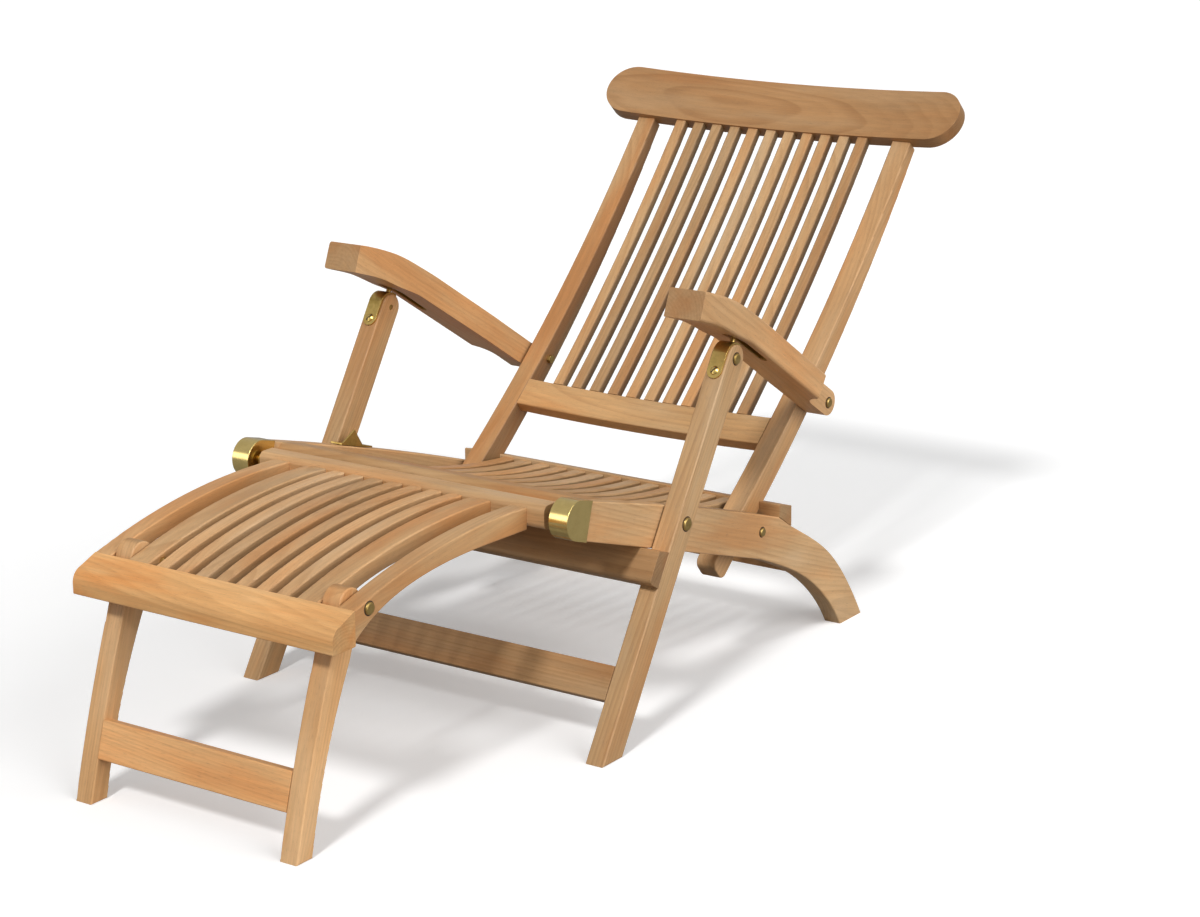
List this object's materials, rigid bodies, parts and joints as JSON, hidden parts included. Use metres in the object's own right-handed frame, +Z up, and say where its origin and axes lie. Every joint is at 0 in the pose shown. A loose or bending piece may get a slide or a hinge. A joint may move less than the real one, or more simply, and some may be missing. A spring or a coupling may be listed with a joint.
{
  "type": "folding deck chair",
  "caption": "Folding slatted deck chair in teak with brass fittings: dished seat, reclined bowed back with a wide headrest, hinged armrests and a hinged footrest on its own folding legs.",
  "frame": {"origin": "centre of the bounding box's footprint, on the floor", "axes": "+Z up, +Y from the footrest towards the headrest, +X towards the sitter's left-hand side"},
  "size_m": [0.6294, 1.4298, 0.7472],
  "materials": {
    "teak": "oiled, lightly worn, satin",
    "brass": "aged, polished at the caps"
  },
  "bodies": {
    "root": {"back_pivot_bolts": "brass", "leg_bracket": "brass", "leg_pivot_bolts": "brass", "leg_washers": "brass", "rail_caps": "brass", "rear_cross_rail": "teak", "seat_front_bar": "teak", "seat_rear_bar": "teak", "seat_slats": "teak", "side_rail_left": "teak", "side_rail_right": "teak", "stile_spacers": "brass"},
    "legs": {"front_leg_left": "teak", "front_leg_right": "teak", "hook_screws": "brass", "leg_hooks": "brass", "leg_lower_stretcher": "teak", "leg_top_bolts": "brass", "leg_upper_stretcher": "teak"},
    "back": {"arm_pivot_bolts": "brass", "arm_washers": "brass", "back_lower_rail": "teak", "back_slat_01": "teak", "back_slat_02": "teak", "back_slat_03": "teak", "back_slat_04": "teak", "back_slat_05": "teak", "back_slat_06": "teak", "back_slat_07": "teak", "back_slat_08": "teak", "back_slat_09": "teak", "back_slat_10": "teak", "back_slat_11": "teak", "back_stile_left": "teak", "back_stile_right": "teak", "headrest": "teak"},
    "arm_left": {"arm_channel_left": "brass", "armrest_left": "teak"},
    "arm_right": {"arm_channel_right": "brass", "armrest_right": "teak"},
    "footrest": {"footrest_front_bar": "teak", "footrest_hinge_pins": "brass", "footrest_leg_bolts": "brass", "footrest_rear_bar": "teak", "footrest_side_left": "teak", "footrest_side_right": "teak", "footrest_slat_1": "teak", "footrest_slat_2": "teak", "footrest_slat_3": "teak", "footrest_slat_4": "teak", "footrest_slat_5": "teak", "footrest_slat_6": "teak", "footrest_slat_7": "teak", "footrest_slat_8": "teak", "footrest_slat_9": "teak", "hinge_washers": "brass"},
    "footrest_legs": {"footrest_leg_left": "teak", "footrest_leg_right": "teak", "footrest_leg_stretcher": "teak"}
  },
  "joints": [
    {"name": "back_fold", "type": "hinge", "parent": "root", "child": "back", "pos_m": [0, 0.17014, 0.1985], "axis": [1, 0, 0], "range_deg": [0, 96]},
    {"name": "legs_fold", "type": "hinge", "parent": "root", "child": "legs", "pos_m": [0, -0.06786, 0.276], "axis": [1, 0, 0], "range_deg": [0, 76.8]},
    {"name": "arm_left_fold", "type": "hinge", "parent": "back", "child": "arm_left", "pos_m": [0, 0.34714, 0.346], "axis": [1, 0, 0], "range_deg": [-94.08, 0]},
    {"name": "arm_right_fold", "type": "hinge", "parent": "back", "child": "arm_right", "pos_m": [0, 0.34714, 0.346], "axis": [1, 0, 0], "range_deg": [-94.08, 0]},
    {"name": "footrest_fold", "type": "hinge", "parent": "root", "child": "footrest", "pos_m": [0, -0.27086, 0.327], "axis": [1, 0, 0], "range_deg": [-68, 45]},
    {"name": "footrest_legs_fold", "type": "hinge", "parent": "footrest", "child": "footrest_legs", "pos_m": [0, -0.60186, 0.293], "axis": [1, 0, 0], "range_deg": [0, 105]}
  ],
  "couplings": [
    {"joint": "legs_fold", "follows": "back_fold", "ratio": 0.8},
    {"joint": "arm_left_fold", "follows": "back_fold", "ratio": -0.98},
    {"joint": "arm_right_fold", "follows": "back_fold", "ratio": -0.98}
  ]
}
